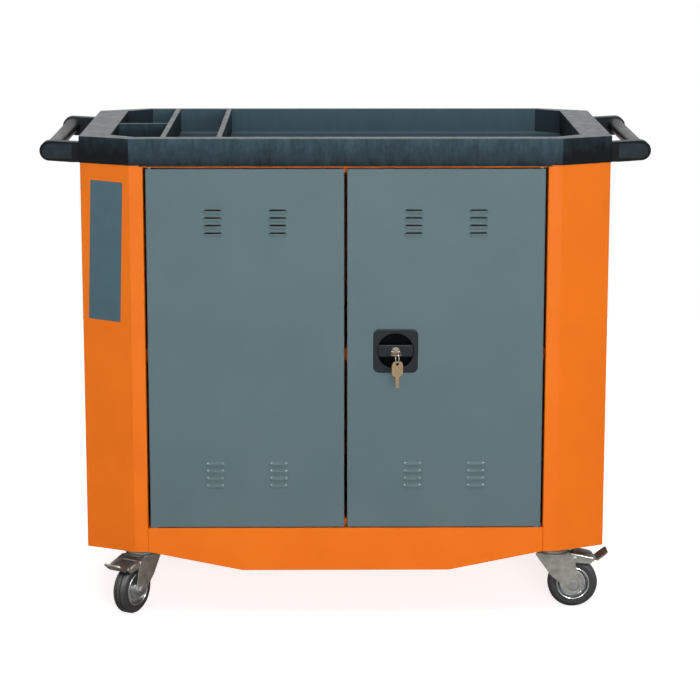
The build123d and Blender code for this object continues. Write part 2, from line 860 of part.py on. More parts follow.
# Lock plug in the handle, with a flat keyway
plug_front = lock_face - plug_proud
with BuildPart() as lock_plug:
    with BuildSketch(Plane.XZ.offset(-plug_front)):
        with Locations((lock_x, lock_z)):
            Circle(plug_radius)
    extrude(amount=-plug_length)
    with BuildSketch(Plane.XZ.offset(-plug_front)):
        with Locations((lock_x, lock_z)):
            Rectangle(blade_width + 2 * free_gap, key_thickness + 2 * free_gap)
    extrude(amount=-(blade_length + free_gap), mode=Mode.SUBTRACT)
save(lock_plug.part, "lock_plug")

# Key in the plug, lying flat, with its blade cut along one edge
bow_back = plug_front - neck_length
cut_steps = [(place + 1) * cut_pitch for place in range(len(cut_depths))]
hole_y = body_front - hole_reach
with BuildPart() as key:
    with BuildSketch(Plane.XY.offset(lock_z - key_thickness / 2)):
        with Locations((lock_x, plug_front + blade_length)):
            Rectangle(
                blade_width, blade_length + neck_length + bow_corner, align=(Align.CENTER, Align.MAX)
            )
        with Locations((lock_x, bow_back - bow_length / 2)):
            RectangleRounded(bow_width, bow_length, bow_corner)
        with Locations((lock_x, hole_y)):
            Circle(key_hole_radius, mode=Mode.SUBTRACT)
        for step, depth in zip(cut_steps, cut_depths):
            with Locations((lock_x + blade_width / 2, plug_front + blade_length - step)):
                Rectangle(depth, depth, rotation=45, mode=Mode.SUBTRACT)
    extrude(amount=key_thickness)
save(key.part, "key")

# Key ring, hanging forward from the hole, and the spare key on it
turn = radians(ring_turn)
ring_axis = Vector(cos(turn), sin(turn), 0)
ring_forward = Vector(sin(turn), -cos(turn), 0)
hang = radians(ring_hang)
ring_middle = Vector(lock_x, hole_y, lock_z) + ring_forward * (ring_seat * cos(hang))
ring_middle -= Vector(0, 0, ring_seat * sin(hang))
with BuildPart() as key_ring:
    with BuildSketch(Plane(origin=ring_middle, x_dir=ring_forward, z_dir=(0, 0, 1))):
        with Locations((ring_radius, 0)):
            RegularPolygon(ring_wire, 8)
    revolve(axis=Axis(ring_middle, ring_axis))
save(key_ring.part, "key_ring")

spare_drop = key_hole_radius - ring_wire - free_gap
spare_bow_top = key_hole_radius + key_web
spare_tip = spare_bow_top - spare_bow_length - spare_blade_length
with BuildPart() as spare_key:
    spare_hole = ring_middle - Vector(0, 0, ring_radius + spare_drop)
    with BuildSketch(Plane(origin=spare_hole, x_dir=ring_axis, z_dir=ring_forward)):
        with Locations((0, spare_bow_top - spare_bow_length / 2)):
            RectangleRounded(bow_width, spare_bow_length, bow_corner)
        with Locations((0, spare_bow_top - spare_bow_length + bow_corner)):
            Rectangle(
                blade_width, spare_blade_length + bow_corner, align=(Align.CENTER, Align.MAX)
            )
        Circle(key_hole_radius, mode=Mode.SUBTRACT)
        for step, depth in zip(cut_steps, cut_depths):
            with Locations((blade_width / 2, spare_tip + step)):
                Rectangle(depth, depth, rotation=45, mode=Mode.SUBTRACT)
    extrude(amount=key_thickness / 2, both=True)
save(spare_key.part, "spare_key")

# Two bolts inside the left door, each in a slotted guide on the stiffener
bolt_y = door_back + bolt_stand_off
bolt_zs = {"upper": (1, upper_tip_z - bolt_length), "lower": (-1, lower_tip_z)}
for name, (side, low_z) in bolt_zs.items():
    with BuildPart() as bolt:
        with BuildSketch(Plane.XY.offset(low_z)):
            with Locations((-left_stiffener_x, bolt_y)):
                Circle(bolt_radius)
        extrude(amount=bolt_length)
        with BuildSketch(Plane.XZ.offset(-bolt_y)):
            with Locations((-left_stiffener_x, low_z + bolt_length / 2)):
                Circle(bolt_knob_radius)
        extrude(amount=-(bolt_radius + bolt_knob_length))
    save(bolt.part, f"left_door_{name}_bolt")

with BuildPart() as left_bolt_guides:
    for side, low_z in bolt_zs.values():
        slot_z = low_z + bolt_length / 2 + side * bolt_travel / 2
        with BuildSketch(Plane.XY.offset(slot_z - bolt_guide_length / 2)):
            with Locations((-left_stiffener_x, door_back)):
                Rectangle(bolt_guide_width, bolt_guide_depth, align=(Align.CENTER, Align.MIN))
            with Locations((-left_stiffener_x, bolt_y)):
                Circle(bolt_radius + fit_gap, mode=Mode.SUBTRACT)
        extrude(amount=bolt_guide_length)
        with BuildSketch(Plane.XZ.offset(-bolt_y)):
            with Locations((-left_stiffener_x, slot_z)):
                Rectangle(
                    2 * (bolt_knob_radius + free_gap),
                    2 * (bolt_knob_radius + free_gap) + bolt_travel,
                )
        extrude(amount=-bolt_guide_depth, mode=Mode.SUBTRACT)
save(left_bolt_guides.part, "left_bolt_guides")

# Caster plates under the channels, each with its race cup and king pin
plate_bottom = caster_height - plate_thickness
race_bottom = crown_height + race_height + race_gap
head_top = crown_height - fork_sheet - free_gap
head_bottom = head_top - king_pin_head_height
with BuildPart() as caster_plates:
    with BuildSketch(Plane.XY.offset(plate_bottom)):
        with Locations(swivel_places):
            RectangleRounded(plate_width, plate_length, plate_corner)
        with Locations(caster_bolt_places):
            Circle(caster_bolt_radius, mode=Mode.SUBTRACT)
    extrude(amount=plate_thickness)
    with BuildSketch(Plane.XY.offset(race_bottom)):
        with Locations(swivel_places):
            Circle(plate_race_radius)
    extrude(amount=plate_bottom - race_bottom)
    with BuildSketch(Plane.XY.offset(head_bottom)):
        with Locations(swivel_places):
            Circle(king_pin_radius)
    extrude(amount=race_bottom - head_bottom)
    with BuildSketch(Plane.XY.offset(head_bottom)):
        with Locations(swivel_places):
            Circle(king_pin_head)
    extrude(amount=king_pin_head_height)
save(caster_plates.part, "caster_plates")

# Sixteen bolts with nuts through channels and plates
web_top = caster_height + channel_sheet
with BuildPart() as caster_bolts:
    with BuildSketch(Plane.XY.offset(plate_bottom)):
        with Locations(caster_bolt_places):
            Circle(caster_bolt_radius)
    extrude(amount=web_top - plate_bottom)
    for z in (plate_bottom - bolt_head_height, web_top):
        with BuildSketch(Plane.XY.offset(z)):
            with Locations(caster_bolt_places):
                RegularPolygon(bolt_head_radius, 6)
        extrude(amount=bolt_head_height)
save(caster_bolts.part, "caster_bolts")

# Casters, shaped once with the swivel axis at X 0, Y 0 and the wheel trailing towards +X.
# Fork: crown plate, race cup, two legs, each with a lobe whose sloping top edge is turned out, and
# the pedal's pin through both lobes
leg_inner = wheel_width / 2 + fork_gap
leg_outer = leg_inner + fork_sheet
leg_top = crown_height - leg_corner
lobe_run = hypot(lobe_tip_x - leg_front, lobe_tip_z - leg_top)
lobe_narrowing = leg_corner - lobe_tip_radius
lobe_fall = atan2(leg_top - lobe_tip_z, lobe_tip_x - leg_front) + asin(lobe_narrowing / lobe_run)
lip_start = (leg_front + leg_corner * sin(lobe_fall), leg_top + leg_corner * cos(lobe_fall))
axle_line = Axis((trail, 0, axle_z), (0, 1, 0))
with BuildPart() as fork:
    with BuildSketch(Plane.XZ.offset(leg_inner)):
        with Locations((trail, axle_z)):
            Circle(leg_boss)
        with Locations((leg_belly_x, leg_belly_z)):
            Circle(leg_belly_radius)
        with Locations((-leg_back, crown_height - leg_back_corner)):
            Circle(leg_back_corner)
        with Locations((leg_front, leg_top)):
            Circle(leg_corner)
        make_hull()
    extrude(amount=fork_sheet)
    with BuildSketch(Plane.XZ.offset(leg_inner)):
        with Locations((leg_front, leg_top)):
            Circle(leg_corner)
        with Locations((lobe_tip_x, lobe_tip_z)):
            Circle(lobe_tip_radius)
        with Locations((lobe_chin_x, lobe_chin_z)):
            Circle(lobe_chin_radius)
        make_hull()
    extrude(amount=fork_sheet)
    with BuildSketch(Plane.XZ.offset(leg_inner)):
        with Locations(lip_start):
            Rectangle(
                sqrt(lobe_run**2 - lobe_narrowing**2),
                lobe_lip_sheet,
                rotation=-degrees(lobe_fall),
                align=(Align.MIN, Align.MAX),
            )
    extrude(amount=fork_sheet + lobe_lip)
    with BuildSketch(Plane.XZ.offset(leg_inner)):
        with Locations((trail, axle_z)):
            Circle(axle_radius)
    extrude(amount=fork_sheet, mode=Mode.SUBTRACT)
    mirror(about=Plane.XZ)
    with BuildSketch(Plane.XY.offset(crown_height - fork_sheet)):
        Circle(crown_radius)
        with Locations(((leg_front - leg_back) / 2, 0)):
            Rectangle(leg_front + leg_back, 2 * leg_outer)
    extrude(amount=fork_sheet)
    with BuildSketch(Plane.XY.offset(crown_height)):
        Circle(race_radius)
    extrude(amount=race_height)
    with BuildSketch(Plane.XY.offset(crown_height - fork_sheet)):
        Circle(king_pin_radius + fit_gap)
    extrude(amount=fork_sheet + race_height, mode=Mode.SUBTRACT)
    with BuildSketch(Plane.XZ):
        with Locations((pedal_pivot_x, pedal_pivot_z)):
            Circle(pedal_pin_radius)
    extrude(amount=leg_outer + pedal_pin_head, both=True)

# Axle bolt with a hexagon head at each end
with BuildPart() as axle:
    with BuildSketch(Plane.XZ):
        with Locations((trail, axle_z)):
            Circle(axle_radius)
    extrude(amount=leg_outer, both=True)
    with BuildSketch(Plane.XZ.offset(leg_outer)):
        with Locations((trail, axle_z)):
            RegularPolygon(axle_head_radius, 6)
    extrude(amount=axle_head_height)
    mirror(about=Plane.XZ)

# Rim: hub, dished disc, and a ring whose edges are rolled over the foot of the tyre
disc_corner = trail + disc_radius
with BuildPart() as rim:
    with BuildSketch(Plane.XY.offset(axle_z)):
        with Locations((trail, 0)):
            Rectangle(hub_radius, 2 * (leg_inner - hub_gap), align=(Align.MIN, Align.CENTER))
            Rectangle(rim_radius, rim_web, align=(Align.MIN, Align.CENTER))
        Polygon(
            (trail, -disc_hub_width / 2),
            (disc_corner, -disc_edge_width / 2),
            (disc_corner + rim_wall, 0),
            (disc_corner, disc_edge_width / 2),
            (trail, disc_hub_width / 2),
            align=None,
        )
        with Locations((trail + rim_radius + rim_lip, 0)):
            Rectangle(
                rim_wall + rim_lip, rim_width + 2 * rim_lip_width, align=(Align.MAX, Align.CENTER)
            )
            Rectangle(rim_lip, rim_width, align=(Align.MAX, Align.CENTER), mode=Mode.SUBTRACT)
        with Locations((trail, 0)):
            Rectangle(
                axle_radius + fit_gap,
                2 * leg_inner,
                align=(Align.MIN, Align.CENTER),
                mode=Mode.SUBTRACT,
            )
    revolve(axis=axle_line)

# Tyre with bevelled shoulders and two grooves round its tread
lip_seat = (wheel_width - rim_width) / 2
lip_seat_y = (wheel_width + rim_width) / 4
with BuildPart() as tyre:
    with BuildSketch(Plane.XY.offset(axle_z)) as tyre_section:
        with Locations((trail + rim_radius, 0)):
            Rectangle(wheel_radius - rim_radius, wheel_width, align=(Align.MIN, Align.CENTER))
        chamfer(tyre_section.vertices().sort_by(Axis.X)[-2:], length=tyre_shoulder)
        chamfer(tyre_section.vertices().sort_by(Axis.X)[-4:], length=tyre_shoulder / 3)
        with Locations(*[(trail + wheel_radius, side * groove_offset) for side in (-1, 1)]):
            Rectangle(2 * groove_depth, groove_width, mode=Mode.SUBTRACT)
        with Locations(*[(trail + rim_radius, side * lip_seat_y) for side in (-1, 1)]):
            Rectangle(2 * rim_lip, lip_seat, mode=Mode.SUBTRACT)
    revolve(axis=axle_line)

# Brake pedal: barrel on the cross pin, a bent strip out to the foot pad, and a shoe over the tyre
pedal_points = [
    (pedal_pivot_x, pedal_pivot_z),
    (pedal_knee_x, pedal_knee_z),
    (pedal_tip_x, pedal_tip_z),
]
with BuildPart() as brake_pedal:
    with BuildSketch(Plane.XZ):
        with BuildLine():
            FilletPolyline(*pedal_points, radius=pedal_bend)
            offset(amount=pedal_sheet, side=Side.LEFT)
        make_face()
        with Locations((pedal_pivot_x, pedal_pivot_z)):
            Circle(pedal_barrel_radius)
    extrude(amount=pedal_width / 2, both=True)
    with BuildSketch(Plane.XZ):
        with BuildLine():
            Polyline(*pedal_points[1:])
            offset(amount=pedal_sheet, side=Side.LEFT)
        make_face()
    extrude(amount=pedal_tip_width / 2, both=True)
    tip_edges = brake_pedal.edges().filter_by(lambda edge: abs(edge.length - pedal_sheet) < fit_gap)
    fillet(tip_edges.sort_by(Axis.X)[-2:], radius=pedal_tip_corner)
    with BuildSketch(Plane.XZ):
        with Locations((shoe_x, pedal_knee_z)):
            Rectangle(shoe_length, wheel_radius / 2)
        with Locations((trail, axle_z)):
            Circle(wheel_radius + shoe_gap, mode=Mode.SUBTRACT)
        with Locations((shoe_x, pedal_knee_z + 2 * pedal_sheet)):
            Rectangle(
                shoe_length, wheel_radius, align=(Align.CENTER, Align.MIN), mode=Mode.SUBTRACT
            )
    extrude(amount=shoe_width / 2, both=True)
    with BuildSketch(Plane.XZ):
        with Locations((pedal_pivot_x, pedal_pivot_z)):
            Circle(pedal_pin_radius + fit_gap)
    extrude(amount=pedal_width, both=True, mode=Mode.SUBTRACT)

# The four casters in place, each with its own heading; the front two have brakes
headings = {
    "front_left": (-left_swivel_x, swivel_ys[0], front_left_heading),
    "front_right": (right_swivel_x, swivel_ys[0], front_right_heading),
    "back_left": (-left_swivel_x, swivel_ys[1], back_left_heading),
    "back_right": (right_swivel_x, swivel_ys[1], back_right_heading),
}
for corner, (x, y, heading) in headings.items():
    place = Location((x, y, 0), (0, 0, heading))
    save(fork.part.moved(place), f"{corner}_fork")
    save(axle.part.moved(place), f"{corner}_axle")
    save(rim.part.moved(place), f"{corner}_rim")
    save(tyre.part.moved(place), f"{corner}_tyre")
    if corner.startswith("front"):
        save(brake_pedal.part.moved(place), f"{corner}_brake_pedal")
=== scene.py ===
import json
import math

import bpy
import numpy as np
from mathutils import Matrix, Vector


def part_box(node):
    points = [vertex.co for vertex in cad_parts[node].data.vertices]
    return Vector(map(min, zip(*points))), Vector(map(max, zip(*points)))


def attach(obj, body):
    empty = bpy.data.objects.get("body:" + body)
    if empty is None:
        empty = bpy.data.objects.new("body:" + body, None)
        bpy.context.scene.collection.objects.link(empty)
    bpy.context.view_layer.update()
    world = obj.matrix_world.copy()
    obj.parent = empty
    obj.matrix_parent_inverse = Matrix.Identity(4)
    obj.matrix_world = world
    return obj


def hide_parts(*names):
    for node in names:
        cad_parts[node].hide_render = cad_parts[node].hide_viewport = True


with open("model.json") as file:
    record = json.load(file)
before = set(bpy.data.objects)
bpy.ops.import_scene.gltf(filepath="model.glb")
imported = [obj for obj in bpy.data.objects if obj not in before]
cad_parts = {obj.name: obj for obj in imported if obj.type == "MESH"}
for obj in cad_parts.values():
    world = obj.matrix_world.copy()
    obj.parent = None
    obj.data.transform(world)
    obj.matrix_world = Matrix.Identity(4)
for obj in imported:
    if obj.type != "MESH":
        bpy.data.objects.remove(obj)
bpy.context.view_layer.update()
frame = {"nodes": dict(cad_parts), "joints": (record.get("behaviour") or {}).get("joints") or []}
nodes = frame["nodes"]
MM = 0.001

# Cabinet shell: side panels, back, rail, skirt, top and floor, folded from 1.5 mm sheet steel and
# welded, then powder coated in one orange. The coat is half gloss with a faint orange peel.
shell_names = ["right_side_panel", "left_side_panel", "back_panel", "top_panel", "front_rail",
               "front_skirt", "floor_panel", "caster_channels", "shelf", "shelf_uprights"]


def linear(code):
    """Linear colour of an sRGB hex code such as e97312."""
    parts = np.array([int(code[i:i + 2], 16) for i in (0, 2, 4)]) / 255
    lin = np.where(parts <= 0.04045, parts / 12.92, ((parts + 0.055) / 1.055) ** 2.4)
    return (*lin.tolist(), 1.0)


def add_node(tree, kind, inputs=None, **settings):
    """Adds a shader node with its settings; each input is a value or a socket to link."""
    made = tree.nodes.new(kind)
    for key, value in settings.items():
        setattr(made, key, value)
    for key, value in (inputs or {}).items():
        if isinstance(value, bpy.types.NodeSocket):
            tree.links.new(value, made.inputs[key])
        else:
            made.inputs[key].default_value = value
    return made


def blank_material(name):
    """An empty node material and its tree."""
    made = bpy.data.materials.new(name)
    made.use_nodes = True
    made.node_tree.nodes.clear()
    return made, made.node_tree


def dress(material, names):
    """Puts one material on the slots of CAD nodes."""
    for name in names:
        for slot in nodes[name].material_slots:
            slot.material = material


def powder_coat(name, base, light, roughness, sheen):
    """Half-gloss powder coat on steel: cloudy colour about 120 mm across, orange peel of 2 mm
    drawn three times as coarse so that it shows, and folds rounded by 1.5 mm under the coat."""
    material, tree = blank_material(name)
    place = add_node(tree, "ShaderNodeTexCoord").outputs["Object"]
    cloud = add_node(tree, "ShaderNodeTexNoise", {"Vector": place, "Scale": 8.0, "Detail": 3.0})
    tint = add_node(tree, "ShaderNodeValToRGB", {"Fac": cloud.outputs["Fac"]})
    tint.color_ramp.elements[0].color = linear(base)
    tint.color_ramp.elements[0].position = 0.3
    tint.color_ramp.elements[1].color = linear(light)
    tint.color_ramp.elements[1].position = 0.75
    peel = add_node(tree, "ShaderNodeTexNoise", {"Vector": place, "Scale": 160.0, "Detail": 2.0})
    fold = add_node(tree, "ShaderNodeBevel", {"Radius": 1.5 * MM}, samples=4)
    bump = add_node(tree, "ShaderNodeBump",
                    {"Strength": 0.06, "Distance": 0.0006, "Height": peel.outputs["Fac"],
                     "Normal": fold.outputs["Normal"]})
    coat = add_node(tree, "ShaderNodeBsdfPrincipled",
                    {"Base Color": tint.outputs["Color"], "Roughness": roughness, "IOR": 1.5,
                     "Specular IOR Level": sheen, "Normal": bump.outputs["Normal"]})
    add_node(tree, "ShaderNodeOutputMaterial", {"Surface": coat.outputs["BSDF"]})
    return material


orange_coat = powder_coat("powder_coat_orange", "ec6d01", "f27303", 0.5, 0.2)
dress(orange_coat, shell_names)

# Doors and their stiffeners: 1.2 mm sheet pans with pressed louvres, powder coated slate grey.
grey_coat = powder_coat("powder_coat_slate_grey", "596a6e", "5e6e72", 0.3, 0.25)
dress(grey_coat, ["left_door", "right_door", "left_door_stiffener", "right_door_stiffeners"])

# Tray: one black polyethylene moulding. The mould gives a leather grain of about 1.5 mm. Its colour
# runs from near black to a blue grey painted sheen. The sheen is painted stronger towards the top and
# over the whole back wall, standing in for light falling into the tray. Faces that point sideways get
# painted shade, corners are rounded by 2 mm, and what faces up carries a pale painted reflection.
moulded, tree = blank_material("moulded_polyethylene_black")
place = add_node(tree, "ShaderNodeTexCoord").outputs["Object"]
tray_low, tray_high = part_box("tool_tray")
grain = add_node(tree, "ShaderNodeTexNoise",
                 {"Vector": place, "Scale": 260.0, "Detail": 4.0, "Roughness": 0.65})
flow = add_node(tree, "ShaderNodeMapping", {"Vector": place, "Scale": (1, 1, 0.35)})
patches = add_node(tree, "ShaderNodeTexNoise",
                   {"Vector": flow.outputs["Vector"], "Scale": 60.0, "Detail": 8.0,
                    "Roughness": 0.75})
height = add_node(tree, "ShaderNodeSeparateXYZ", {"Vector": place})
# Painted sheen: the colour is drawn lighter towards the top of the tray.
painted_sheen_by_height = add_node(tree, "ShaderNodeMapRange",
                {"Value": height.outputs["Z"], "From Min": tray_low.z, "From Max": tray_high.z,
                 "To Min": 0.45, "To Max": 1.25})
sheen_patches = add_node(tree, "ShaderNodeMath", {0: painted_sheen_by_height.outputs["Result"], 1: patches.outputs["Fac"]},
                 operation="MULTIPLY")
# Painted light: the back wall is drawn evenly light, standing in for light falling into the tray.
back_wall_mask = add_node(tree, "ShaderNodeMapRange",
                  {"Value": height.outputs["Y"], "From Min": tray_high.y - 60 * MM,
                   "From Max": tray_high.y - 40 * MM})
painted_back_wall_sheen = add_node(tree, "ShaderNodeMath", {0: patches.outputs["Fac"], 1: 0.34, 2: 0.75},
                operation="MULTIPLY_ADD")
painted_sheen = add_node(tree, "ShaderNodeMix", {0: back_wall_mask.outputs["Result"], 2: sheen_patches.outputs["Value"],
                                        3: painted_back_wall_sheen.outputs["Value"]})
facing = add_node(tree, "ShaderNodeSeparateXYZ",
                  {"Vector": add_node(tree, "ShaderNodeNewGeometry").outputs["Normal"]})
aside = add_node(tree, "ShaderNodeMath", {0: facing.outputs["X"]}, operation="ABSOLUTE")
# Painted shade: faces that point sideways are drawn darker.
painted_side_shade = add_node(tree, "ShaderNodeMapRange",
                 {"Value": aside.outputs["Value"], "From Min": 0.1, "From Max": 0.3, "To Min": 1.0,
                  "To Max": 0.4})
sheen_and_side_shade = add_node(tree, "ShaderNodeMath", {0: painted_sheen.outputs[0], 1: painted_side_shade.outputs["Result"]},
                operation="MULTIPLY")
# The ramp runs from the black plastic to a blue grey painted sheen.
tint = add_node(tree, "ShaderNodeValToRGB", {"Fac": sheen_and_side_shade.outputs["Value"]})
tint.color_ramp.elements[0].color = linear("0a0e11")
tint.color_ramp.elements[0].position = 0.15
tint.color_ramp.elements[1].color = linear("4c6069")
tint.color_ramp.elements[1].position = 0.95
for position, code in ((0.28, "242f35"), (0.55, "33434b")):
    stop = tint.color_ramp.elements.new(position)
    stop.color = linear(code)
# Painted reflection: what faces up gets a pale tint, warm near the rim tops and bluish lower down.
level = add_node(tree, "ShaderNodeMapRange",
                 {"Value": facing.outputs["Z"], "From Min": 0.7, "From Max": 0.95,
                  "To Max": 0.22})
high_up = add_node(tree, "ShaderNodeMapRange",
                   {"Value": height.outputs["Z"], "From Min": tray_high.z - 12 * MM,
                    "From Max": tray_high.z - 4 * MM})
painted_reflection_tint = add_node(tree, "ShaderNodeMix", {0: high_up.outputs["Result"], 6: linear("56707c"),
                                        7: linear("6a655f")}, data_type="RGBA")
reflection_tinted = add_node(tree, "ShaderNodeMix",
                 {0: level.outputs["Result"], 6: tint.outputs["Color"], 7: painted_reflection_tint.outputs[2]},
                 data_type="RGBA")
gloss = add_node(tree, "ShaderNodeMapRange",
                 {"Value": sheen_patches.outputs["Value"], "From Min": 0.2, "From Max": 0.75,
                  "To Min": 0.5, "To Max": 0.28})
corner = add_node(tree, "ShaderNodeBevel", {"Radius": 2 * MM}, samples=4)
bump = add_node(tree, "ShaderNodeBump",
                {"Strength": 0.35, "Distance": 0.0005, "Height": grain.outputs["Fac"],
                 "Normal": corner.outputs["Normal"]})
skin = add_node(tree, "ShaderNodeBsdfPrincipled",
                {"Base Color": reflection_tinted.outputs[2], "Roughness": gloss.outputs["Result"],
                 "IOR": 1.5, "Specular IOR Level": 0.08, "Normal": bump.outputs["Normal"]})
add_node(tree, "ShaderNodeOutputMaterial", {"Surface": skin.outputs["BSDF"]})
dress(moulded, ["tool_tray"])

# Louvre sills: below each hood of the lower louvres the door skin carries on almost to the hood's
# lip, so that the opening faces down and shows only as a thin line.
sill_low, sill_high, sill_half = -2.4 * MM, -0.6 * MM, 17.5 * MM
sill_half_depth, sill_proud = 0.9 * MM, 0.03 * MM
louvre_rows, louvre_pitch, column_offset = 4, 15 * MM, 63 * MM
rows_middle, lip_offset = 107 * MM, 2.3 * MM
row_heights = (np.arange(louvre_rows) - (louvre_rows - 1) / 2) * louvre_pitch + rows_middle - lip_offset
corner_signs = np.array([(x, y, z) for z in (0, 1) for y in (0, 1) for x in (-1, 1)], float)
strip_faces = [(0, 2, 3, 1), (4, 5, 7, 6), (0, 1, 5, 4), (2, 6, 7, 3), (0, 4, 6, 2), (1, 3, 7, 5)]


def mesh_piece(name, points, faces, material, body, smooth=False):
    """Makes a mesh object from points and faces, gives it a material and lets it ride."""
    mesh = bpy.data.meshes.new(name)
    mesh.from_pydata(points.tolist(), [], faces)
    mesh.materials.append(material)
    if smooth:
        mesh.shade_smooth()
    made = bpy.data.objects.new(name, mesh)
    bpy.context.scene.collection.objects.link(made)
    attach(made, body)
    return made


for door in ("left_door", "right_door"):
    low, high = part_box(door)
    skin_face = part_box("left_side_panel")[0].y + sill_proud
    places = np.array([((low.x + high.x) / 2 + side * column_offset, skin_face, low.z + z)
                       for side in (-1, 1) for z in row_heights])
    size = np.array([sill_half, sill_half_depth, sill_high - sill_low])
    strips = (places[:, None, :] + np.array([0, 0, sill_low]) + corner_signs * size).reshape(-1, 3)
    faces = [tuple(8 * k + v for v in face) for k in range(len(places)) for face in strip_faces]
    mesh_piece(f"{door}_louvre_sills", strips, faces, grey_coat,
               door.replace("door", "leaf"))

# Handle arms: four moulded black levers with a rounded nose. The sunk panel of each outer face is
# drawn blue grey; the border round it is painted near black as painted shade along the panel's edges.
arm_plastic, tree = blank_material("moulded_arm_black")
place = add_node(tree, "ShaderNodeTexCoord").outputs["Object"]
front_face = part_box("right_handle_front_arm")[0].y
rear_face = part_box("right_handle_rear_arm")[1].y
half_span = (rear_face - front_face) / 2
border_depth, panel_depth = 0.4 * MM, 1.6 * MM
depth = add_node(tree, "ShaderNodeSeparateXYZ", {"Vector": place})
offset = add_node(tree, "ShaderNodeMath",
                  {0: depth.outputs["Y"], 1: (front_face + rear_face) / 2},
                  operation="SUBTRACT")
outward = add_node(tree, "ShaderNodeMath", {0: offset.outputs["Value"]}, operation="ABSOLUTE")
sunk = add_node(tree, "ShaderNodeMapRange",
                {"Value": outward.outputs["Value"], "From Min": half_span - border_depth,
                 "From Max": half_span - panel_depth})
scuffs = add_node(tree, "ShaderNodeTexNoise", {"Vector": place, "Scale": 60.0, "Detail": 5.0})
panel = add_node(tree, "ShaderNodeValToRGB", {"Fac": scuffs.outputs["Fac"]})
panel.color_ramp.elements[0].color = linear("12171b")
panel.color_ramp.elements[1].color = linear("2a343a")
# Painted shade: the border round the sunk panel is drawn near black.
painted_shade_border = add_node(tree, "ShaderNodeValToRGB", {"Fac": scuffs.outputs["Fac"]})
painted_shade_border.color_ramp.elements[0].color = linear("050607")
painted_shade_border.color_ramp.elements[1].color = linear("0d0f11")
both = add_node(tree, "ShaderNodeMix",
                {0: sunk.outputs["Result"], 6: painted_shade_border.outputs["Color"],
                 7: panel.outputs["Color"]}, data_type="RGBA")
corner = add_node(tree, "ShaderNodeBevel", {"Radius": 1.5 * MM}, samples=4)
skin = add_node(tree, "ShaderNodeBsdfPrincipled",
                {"Base Color": both.outputs[2], "Roughness": 0.42, "IOR": 1.5,
                 "Specular IOR Level": 0.12, "Normal": corner.outputs["Normal"]})
add_node(tree, "ShaderNodeOutputMaterial", {"Surface": skin.outputs["BSDF"]})
dress(arm_plastic, ["left_handle_front_arm", "right_handle_front_arm",
                    "left_handle_rear_arm", "right_handle_rear_arm"])

# Grips: a black PVC sleeve 29 mm thick pushed over the tube between the arms, with a stepped
# collar of two rings at each end. Smooth and fairly glossy, rubbed a little by hands.
grip_tube, tree = blank_material("pvc_grip_black")
place = add_node(tree, "ShaderNodeTexCoord").outputs["Object"]
rub = add_node(tree, "ShaderNodeTexNoise", {"Vector": place, "Scale": 30.0, "Detail": 4.0})
gloss = add_node(tree, "ShaderNodeMapRange",
                 {"Value": rub.outputs["Fac"], "To Min": 0.3, "To Max": 0.5})
tint = add_node(tree, "ShaderNodeValToRGB", {"Fac": rub.outputs["Fac"]})
tint.color_ramp.elements[0].color = linear("0c0d0e")
tint.color_ramp.elements[1].color = linear("1a1b1c")
vinyl = add_node(tree, "ShaderNodeBsdfPrincipled",
                 {"Base Color": tint.outputs["Color"], "Roughness": gloss.outputs["Result"],
                  "IOR": 1.53, "Specular IOR Level": 0.3})
add_node(tree, "ShaderNodeOutputMaterial", {"Surface": vinyl.outputs["BSDF"]})
end_gap = 0.1 * MM


def turned(profile, centre, axis, steps, closed=False):
    """Points and faces of a profile turned about an axis. Row s of the grid is the circle
    centre + axis * along(s) + radius(s) * (cos t * u + sin t * v), with u and v square to the
    axis. A closed profile joins its last row to its first; an open one is capped at both ends."""
    along, radius = np.asarray(profile, float).T
    axis = np.asarray(axis, float) / np.linalg.norm(axis)
    u = np.cross(axis, (0, 0, 1.0))
    u /= np.linalg.norm(u)
    v = np.cross(axis, u)
    t = np.linspace(0, 2 * math.pi, steps, endpoint=False)
    ring = np.cos(t)[:, None] * u + np.sin(t)[:, None] * v
    points = (np.asarray(centre, float) + along[:, None, None] * axis
              + radius[:, None, None] * ring).reshape(-1, 3)
    rows = len(along)
    a = np.arange(rows if closed else rows - 1)[:, None] * steps
    b = (a + steps) % (rows * steps)
    i = np.arange(steps)[None, :]
    j = (i + 1) % steps
    faces = np.stack([a + i, b + i, b + j, a + j], axis=-1).reshape(-1, 4)[:, ::-1].tolist()
    if not closed:
        faces += [list(range(steps)), list(range((rows - 1) * steps, rows * steps))[::-1]]
    return points, faces


for side in ("left", "right"):
    low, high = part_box(f"{side}_handle_grip")
    middle = (low + high) / 2
    half = (high.y - low.y) / 2 - end_gap
    steps_in = np.array([0, 0.4, 3.4, 3.8, 4.6, 5.0, 8.2, 9.2, 12.0]) * MM
    radii = np.array([16.4, 17, 17, 13.4, 13.2, 16, 16.2, 15.6, 14.5]) * MM
    profile = np.concatenate([np.stack([steps_in - half, radii], axis=1),
                              np.stack([half - steps_in, radii], axis=1)[::-1]])
    points, faces = turned(profile, middle, (0, 1, 0), 48)
    sleeve = mesh_piece(f"{side}_grip_sleeve", points, faces, grip_tube, "cabinet",
                        smooth=True)
    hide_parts(f"{side}_handle_grip")

